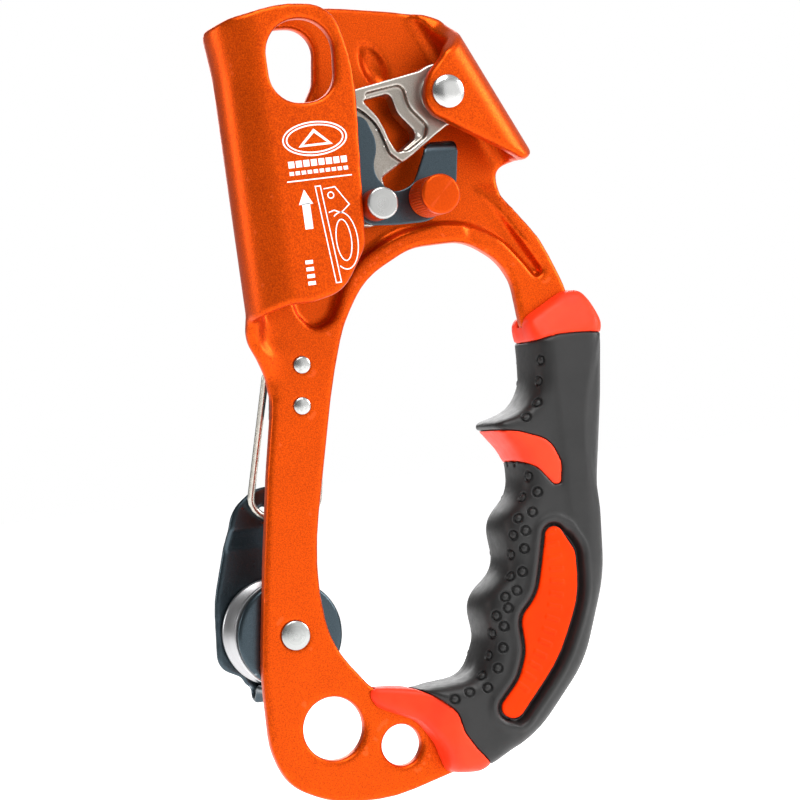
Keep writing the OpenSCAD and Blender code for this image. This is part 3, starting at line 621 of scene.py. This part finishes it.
field, near = grip_field()
carve_grip(field, near)
for node, label, material, slot in (
        ("grip_body", "grip_skin", grip_rubber, "grip_rubber"),
        ("grip_top_collar", "top_collar_skin", soft_orange, "soft_orange"),
        ("grip_bottom_collar", "bottom_collar_skin", soft_orange, "soft_orange"),
        ("finger_insert", "insert_skin", soft_orange, "soft_orange")):
    others = np.minimum.reduce([near[n] for n in near if n != node])
    part = smooth_max(field.d, (near[node] - others) / 2 + 0.04, 0.35)
    points, quads = field.surface(part)
    quads = outward(points, quads)
    if node == "grip_body":
        points, quads = add_studs(points, quads)
    add_mesh(label, "frame_body", points, quads, material, (node,))

BADGE_FACE, RELIEF = 9.4, 0.22  # where a badge's flat face begins, and how deep its details are
BARS = along([(58.2, 42), (59.6, 32), (57.6, 22), (53.2, 12.4), (47.2, 4.4), (43.4, 0.2)], 3.1, 0.6)


def crown(field, node):
    """A fine border line and a row of raised bars on a badge's face."""
    x, y, z = field.axes()
    cy = centre_of(node)[1]
    out = field.d[:, int(round(cy / field.h)) - field.start[1], :][:, None, :]
    face = step((np.sign(cy) * y - BADGE_FACE) / 0.3)
    field.d += RELIEF * face * np.exp(-((out + 1.3) / 0.35) ** 2)
    for (x0, z0), (x1, z1) in zip(BARS[:-1], BARS[1:]):
        run = math.hypot(x1 - x0, z1 - z0)
        u = ((x - x0) * (x1 - x0) + (z - z0) * (z1 - z0)) / run
        w = ((x - x0) * (z1 - z0) - (z - z0) * (x1 - x0)) / run
        field.d -= RELIEF * face * step((0.7 - np.abs(u)) / 0.3) * step((2.0 - np.abs(w)) / 0.3)


for node in BADGES:
    skin(node + "_skin", node, "frame_body", badge_orange, h=0.25, edge=0.35,
         carve=lambda field: crown(field, node))


# ---- the cam and its trigger ----

CAM_RIM = -9.0  # depth of the cam's raised faces
LIP_WIDTH, LIP_HEIGHT = 0.55, 0.34


def carve_cam(field):
    """Leaves a fine raised lip round the cam's front faces."""
    y = field.axes()[1]
    j = int(round((CAM_RIM + 0.5) / field.h)) - field.start[1]
    inward = -field.d[:, j:j + 1, :]
    top = step((CAM_RIM + 0.9 - y) / 0.3)
    field.d += LIP_HEIGHT * top * step((inward - LIP_WIDTH) / 0.35)


skin("cam_skin", "cam", "cam_body", cast_nickel, h=0.2, edge=0.2, fillet=0.3,
     carve=carve_cam)
skin("trigger_skin", "trigger", "trigger_body", dark_steel, h=0.14, edge=0.18, fillet=0.25)
skin("cam_spring_skin", "cam_spring", "frame_body", spring_steel, h=0.16, blur=0.2)
skin("trigger_spring_skin", "trigger_spring", "cam_body", spring_steel, h=0.12, blur=0.12)

low, high = corners_of(["cam_rivet"])
cam_at = (centre_of("cam_rivet")[0], centre_of("cam_rivet")[2])
rivet_metal = turned_metal("rivet_metal", cam_at, (0.62, 0.62, 0.61), rough=0.2, pitch=0.5, strength=0.12)
HEAD, BACK_HEAD, SHANK = 4.15, 4.2, 2.6


def domed(radius, base, top, steps=14):
    """A domed head's profile from its middle to its rim, with a low straight wall at the rim."""
    wall = 0.35
    rise = [wall + (1 - wall) * math.cos(a) for a in np.linspace(0, math.pi / 2, steps)]
    run = [math.sin(a) for a in np.linspace(0, math.pi / 2, steps)]
    return [(radius * r, base + (top - base) * h) for r, h in zip(run, rise)] + [(radius, base)]


back = high[1]
profile = domed(HEAD, low[1] + 1.5, low[1])
profile += [(SHANK, low[1] + 1.5), (SHANK, back - 1), (BACK_HEAD, back - 1)]
profile += [(BACK_HEAD, back - 0.45), (BACK_HEAD - 0.45, back)]
lathe("cam_rivet_skin", "frame_body", cam_at, profile, rivet_metal, ("cam_rivet",))

low, high = corners_of(["trigger_pin"])
pin_at = (centre_of("trigger_pin")[0], centre_of("trigger_pin")[2])
front, back = low[1], high[1]
PIN_HEAD, PIN_SHANK, PIN_TIP = 3.9, 1.9, 1.8
pin_metal = turned_metal("pin_metal", pin_at, (0.5, 0.5, 0.49), rough=0.28, pitch=0.3, strength=0.14)
profile = bead([(0, front + 0.02), (1.5, front, 0.5), (PIN_HEAD - 0.35, front, 0.25),
                (PIN_HEAD, front + 0.3, 0.2), (PIN_HEAD, front + 0.9)])
profile += [(PIN_SHANK, front + 0.9), (PIN_SHANK, back - 4), (PIN_TIP, back - 4), (PIN_TIP, back)]
lathe("trigger_pin_skin", "cam_body", pin_at, profile, pin_metal, ("trigger_pin",))

low, high = corners_of(["knob"])
knob_at = (centre_of("knob")[0], centre_of("knob")[2])
knob_r, knob_front, knob_back = (high[0] - low[0]) / 2, low[1], high[1]
GROOVES, RING_PITCH, KNURL_DEPTH, KNOB_BORE = 44, 0.62, 0.2, 1.6


def knurl(radius, depth, angle):
    """A square cut knurl: grooves along the knob crossed by rings, between its plain ends."""
    zone = step((depth - knob_front - 1.5) / 0.25) * step((knob_back - 0.7 - depth) / 0.25)
    zone = zone * (radius > knob_r - 0.5)
    grooves = np.clip(1.6 * np.cos(GROOVES * angle) - 0.6, 0, 1)
    rings = np.clip(1.6 * np.cos(2 * math.pi * depth / RING_PITCH) - 0.6, 0, 1)
    return radius - KNURL_DEPTH * zone * np.maximum(grooves, rings)


side = [(knob_r, d) for d in np.arange(knob_front + 1.3, knob_back - 0.5, RING_PITCH / 10)]
profile = bead([(0, knob_front), (knob_r - 0.5, knob_front, 0.25), (knob_r, knob_front + 0.45, 0.25),
                (knob_r, knob_front + 1.25)])
profile += side + [(knob_r - 0.55, knob_back), (KNOB_BORE, knob_back), (KNOB_BORE, knob_front + 3)]
lathe("knob_skin", "trigger_body", knob_at, profile, knob_orange, ("knob",),
      sides=8 * GROOVES, shape=knurl)

low, high = corners_of(["trigger_collar"])
collar_r = (high[0] - low[0]) / 2
profile = bead([(PIN_SHANK, low[1]), (collar_r, low[1], 0.2), (collar_r, high[1], 0.2),
                (PIN_SHANK, high[1])])
profile.append(profile[0])
lathe("collar_skin", "cam_body", pin_at, profile, knob_orange, ("trigger_collar",))


# ---- the pulley ----

low, high = corners_of(["sheave"])
axle_at = (centre_of("sheave")[0], centre_of("sheave")[2])
sheave_metal = turned_metal("sheave_metal", axle_at, (0.5, 0.5, 0.51), rough=0.3, pitch=0.4, strength=0.12)
sheave_r, half, mid = (high[0] - low[0]) / 2, (high[1] - low[1]) / 2, (high[1] + low[1]) / 2
GROOVE, BORE = 9.6, 8.6
rim = half - 1.1
groove = [(GROOVE + (sheave_r - GROOVE) * (t / rim) ** 2, mid + t) for t in np.linspace(-rim, rim, 41)]
profile = bead([(BORE, mid - half), (sheave_r, mid - half, 0.3), (sheave_r, mid - rim - 0.05)])
profile += groove + bead([(sheave_r, mid + rim + 0.05), (sheave_r, mid + half, 0.3), (BORE, mid + half)])
profile.append(profile[0])
lathe("sheave_skin", "sheave_body", axle_at, profile, sheave_metal, ("sheave",), sides=144)

low, high = corners_of(["pulley_axle"])
front, back = low[1], high[1]
AXLE_HEAD, AXLE_SHANK, AXLE_NUT = 3.6, 3, 4.6
profile = domed(AXLE_HEAD, front + 0.9, front) + [(AXLE_SHANK, front + 0.9), (AXLE_SHANK, back - 1.4)]
profile += bead([(AXLE_NUT, back - 1.4), (AXLE_NUT, back, 0.4), (0, back)])
axle_metal = turned_metal("axle_metal", axle_at, (0.46, 0.47, 0.46), rough=0.28, pitch=0.3, strength=0.2)
lathe("axle_skin", "frame_body", axle_at, profile, axle_metal, ("pulley_axle",))

skin("bracket_skin", "pulley_bracket", "frame_body", dark_steel, h=0.3, edge=0.45,
     fillet=0.9, blur=0.35)
skin("gate_block_skin", "gate_block", "frame_body", dark_steel, h=0.25, edge=0.4)
skin("gate_wire_skin", "gate_wire", "gate", spring_steel, h=0.16, blur=0.2)
low, high = corners_of(["gate_rivets"])
front, back = low[1], high[1]
GATE_RIVETS = [(0.8, 79.5), (1.9, 89.5)]  # (x, z)
RIVET_HEAD, RIVET_SHANK, RIVET_TAIL = 2.15, 1.4, 2.2
profile = domed(RIVET_HEAD, front + 0.8, front)[:-1]
profile += [(RIVET_HEAD, front + 0.85), (RIVET_SHANK, front + 0.85), (RIVET_SHANK, back - 0.8)]
profile += [(RIVET_TAIL, back - 0.8), (RIVET_TAIL, back - 0.3), (RIVET_TAIL - 0.3, back), (0, back)]
for k, at in enumerate(GATE_RIVETS):
    lathe(f"gate_rivet_skin_{k}", "frame_body", at, profile, bright_steel, ("gate_rivets",)[k:],
          sides=64)

# these pieces keep their CAD meshes and only take a material
for node, material in (("bearing_outer_ring", bright_steel), ("bearing_inner_ring", bright_steel),
                       ("bearing_balls", bright_steel), ("bearing_seals", seal_rubber),
                       ("axle_spacers", axle_metal), ("knob_stud", bright_steel)):
    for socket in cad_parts[node].material_slots:
        socket.material = material


# ---- the printed panel ----

def ribbon(paths, width):
    """Flat strokes of a width on the flap's face, as points and quads; a path is a list of (x, z)."""
    points, quads = [], []
    for path in paths:
        line = np.array(path, float)
        closed = bool(np.allclose(line[0], line[-1]))
        if closed:
            line = line[:-1]
            run_a, run_b = np.roll(line, -1, axis=0) - line, line - np.roll(line, 1, axis=0)
        else:
            runs = np.diff(line, axis=0)
            run_a, run_b = np.vstack([runs, runs[-1:]]), np.vstack([runs[:1], runs])
        run_a /= np.linalg.norm(run_a, axis=1)[:, None]
        run_b /= np.linalg.norm(run_b, axis=1)[:, None]
        across = np.stack([-(run_a + run_b)[:, 1], (run_a + run_b)[:, 0]], axis=1)
        across /= np.linalg.norm(across, axis=1)[:, None]
        bend = np.clip(np.abs((across * np.stack([-run_a[:, 1], run_a[:, 0]], axis=1)).sum(axis=1)), 0.5, 1)
        across *= (width / 2 / bend)[:, None]
        base, n = len(points), len(line)
        for p, q in zip(line, across):
            for corner in (p + q, p - q):
                points.append((corner[0], PRINT_BACK, corner[1]))
                points.append((corner[0], PRINT_FRONT, corner[1]))
        spans = n if closed else n - 1
        for i in range(spans):
            a, b = base + 4 * i, base + 4 * ((i + 1) % n)
            quads += [(a + 1, a + 3, b + 3, b + 1), (a, b, b + 2, a + 2),
                      (a, a + 1, b + 1, b), (a + 2, b + 2, b + 3, a + 3)]
        if not closed:
            last = base + 4 * (n - 1)
            quads += [(base, base + 2, base + 3, base + 1), (last, last + 1, last + 3, last + 2)]
    return points, quads


FLAP_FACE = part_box("frame")[0][1] / MM
PRINT_BACK, PRINT_FRONT = FLAP_FACE + 0.05, FLAP_FACE - 0.03
LEAN = math.radians(1.8)  # the print follows the channel's lean


def leaned(path, about=(-2.3, 140)):
    """A path turned by the print's lean."""
    c, s = math.cos(LEAN), math.sin(LEAN)
    out = []
    for x, z in path:
        dx, dz = x - about[0], z - about[1]
        out.append((about[0] + dx * c - dz * s, about[1] + dx * s + dz * c))
    return out


def arc(cx, cz, rx, rz, a0, a1, n=40):
    """Part of an ellipse, between two angles in degrees."""
    angles = np.radians(np.linspace(a0, a1, n + 1))
    return [(cx + rx * math.cos(a), cz + rz * math.sin(a)) for a in angles]


ink, tree, shader = node_tree("white_print")
where = place(tree)
cover = ramp(tree, noise(tree, where, 0.4, 3), [(0.3, 0.84), (0.6, 0.95)])
tree.links.new(cover, shader.inputs["Base Color"])
gloss = ramp(tree, noise(tree, where, 1.0, 2), [(0.3, 0.45), (0.7, 0.6)])
tree.links.new(gloss, shader.inputs["Roughness"])
bump(tree, shader, noise(tree, where, 0.2, 2), 0.3, 0.01)


def filled(corners):
    """A flat convex patch on the flap's face."""
    n = len(corners)
    points = [(x, y, z) for x, z in corners for y in (PRINT_BACK, PRINT_FRONT)]
    sides = [(2 * i, 2 * i + 1, (2 * i + 3) % (2 * n), (2 * i + 2) % (2 * n)) for i in range(n)]
    return points, sides + [tuple(range(1, 2 * n, 2)), tuple(range(2 * n - 2, -1, -2))]


def block(x0, x1, z0, z1):
    """The corners of an upright rectangle."""
    return [(x0, z0), (x1, z0), (x1, z1), (x0, z1)]


# lines as (width, paths): an oval with a triangle, a rule, and a small line drawing
lines = [
    (0.35, [arc(7.6, 142.9, 8.0, 4.0, 0, 360), arc(7.6, 142.9, 7.1, 3.3, 0, 360)]),
    (0.7, [[(3.9, 141.4), (11.3, 141.4), (7.6, 144.8), (3.9, 141.4)]]),
    (0.3, [[(-0.8, 133.2), (15.6, 133.2)]]),
    (0.26, [[(6.0, 131.4), (7.3, 131.4), (9.2, 107.8), (7.9, 107.8), (6.0, 131.4)],
            [(8.0, 130.6), (10.9, 130.8), (13.9, 126.2), (11.6, 124.4), (9.9, 125.2), (8.5, 124.8)],
            arc(9.6, 128.9, 0.75, 0.75, 0, 360, 16),
            arc(11.3, 117.6, 3.5, 6.9, 118, -122), arc(11.3, 117.8, 1.9, 5.0, 0, 360)]),
]
# solid patches: a small arrow, and bars that stand for lettering
patches = [
    [(1.3, 127.4), (4.9, 127.4), (3.1, 131.0)], block(2.1, 4.1, 121.4, 127.6),
    *[block(0.1 + 1.9 * k, 1.6 + 1.9 * k, 136.4, 138.0) for k in range(8)],
    *[block(0.1 + 1.52 * k, 1.2 + 1.52 * k, 134.6, 135.5) for k in range(10)],
    *[block(0.9, 2.8, 108.0 + 1.7 * k, 108.9 + 1.7 * k) for k in range(4)],
]
points, quads = [], []
for p, q in [ribbon([leaned(path) for path in paths], width) for width, paths in lines] + [
        filled(leaned(patch)) for patch in patches]:
    quads += [tuple(c + len(points) for c in face) for face in q]
    points += p
printed = add_mesh("printed_panel", "frame_body", points, quads, ink, ())
printed.data.shade_flat()


# ---- floor, light and camera ----

low, high = (np.array(corner) for corner in cad_box)
centre = Vector(((low + high) / 2).tolist())

mesh = bpy.data.meshes.new("floor")
mesh.from_pydata([(-4, -4, 0), (4, -4, 0), (4, 4, 0), (-4, 4, 0)], [], [(0, 1, 2, 3)])
floor = bpy.data.objects.new("floor", mesh)
bpy.context.scene.collection.objects.link(floor)
floor.location = (0, 0, low[2] - 0.06)
pale, tree, shader = node_tree("pale_floor")
shader.inputs["Base Color"].default_value = (0.93, 0.93, 0.93, 1)
shader.inputs["Roughness"].default_value = 0.8
shader.inputs["Emission Color"].default_value = (1, 1, 1, 1)
shader.inputs["Emission Strength"].default_value = 0.75
mesh.materials.append(pale)


def soft_light(name, direction, distance, size, power):
    """A square softbox that faces the object from a direction."""
    data = bpy.data.lights.new(name, "AREA")
    data.shape, data.size, data.energy = "SQUARE", size, power
    lamp = bpy.data.objects.new(name, data)
    bpy.context.scene.collection.objects.link(lamp)
    towards = Vector(direction).normalized()
    lamp.location = centre + distance * towards
    lamp.rotation_euler = towards.to_track_quat("Z", "Y").to_euler()
    return lamp


soft_light("key", (0.0, -0.7, 0.95), 0.9, 0.5, 5.6)
soft_light("fill", (0.6, -0.95, 0.1), 1.0, 0.8, 1.6)
soft_light("left_strip", (-1.0, 0.2, 0.25), 0.7, 0.25, 0.9)
soft_light("right_strip", (0.9, -0.4, 0.35), 0.7, 0.3, 2.7)
soft_light("back", (0.2, 1.0, 0.5), 0.9, 0.6, 4.0)

world = bpy.data.worlds.new("studio")
bpy.context.scene.world = world
world.use_nodes = True
tree = world.node_tree
tree.nodes.clear()
coords = tree.nodes.new("ShaderNodeTexCoord")
split = tree.nodes.new("ShaderNodeSeparateXYZ")
tree.links.new(coords.outputs["Generated"], split.inputs[0])


def shade_along(axis, stops):
    """The room's brightness along one axis, from its low end to its high end."""
    share = make(tree, "ShaderNodeMath", operation="MULTIPLY_ADD")
    tree.links.new(split.outputs[axis], share.inputs[0])
    share.inputs[1].default_value = 0.5
    share.inputs[2].default_value = 0.5
    return ramp(tree, share.outputs[0], stops)


front_to_back = shade_along("Y", [(0.0, 0.55), (0.3, 0.8), (0.6, 0.6), (1.0, 0.9)])
left_to_right = shade_along("X", [(0.0, 0.4), (0.36, 0.35), (0.6, 1.0), (1.0, 1.0)])
low_to_high = shade_along("Z", [(0.0, 0.5), (0.45, 0.72), (0.75, 1.1), (1.0, 1.25)])
around = blend_colours(tree, 1.0, front_to_back, left_to_right, "MULTIPLY")
room = make(tree, "ShaderNodeBackground", Strength=0.68)
tree.links.new(blend_colours(tree, 1.0, around, low_to_high, "MULTIPLY"), room.inputs["Color"])
white = make(tree, "ShaderNodeBackground", Strength=1.0)
white.inputs["Color"].default_value = (1, 1, 1, 1)
seen = tree.nodes.new("ShaderNodeLightPath")
pick = tree.nodes.new("ShaderNodeMixShader")
tree.links.new(seen.outputs["Is Camera Ray"], pick.inputs[0])
tree.links.new(room.outputs[0], pick.inputs[1])
tree.links.new(white.outputs[0], pick.inputs[2])
output = tree.nodes.new("ShaderNodeOutputWorld")
tree.links.new(pick.outputs[0], output.inputs["Surface"])
bpy.context.scene.view_settings.view_transform = "Standard"

# the camera looks at the object from a little to its left, nearly level, with the object leaning left
CAMERA = Vector((-181.64, -637.95, 81.48)) * MM
AHEAD = Vector((0.31042, 0.95059, -0.00484)).normalized()
UP = Vector((0.10697, -0.02987, 0.99381))
data = bpy.data.cameras.new("camera")
data.lens, data.sensor_width = 121.5, 36
data.clip_start, data.clip_end = 0.01, 20
camera = bpy.data.objects.new("camera", data)
bpy.context.scene.collection.objects.link(camera)
right = AHEAD.cross(UP).normalized()
turn = Matrix((right, right.cross(AHEAD).normalized(), -AHEAD)).transposed().to_4x4()
camera.matrix_world = Matrix.Translation(CAMERA) @ turn
bpy.context.scene.camera = camera
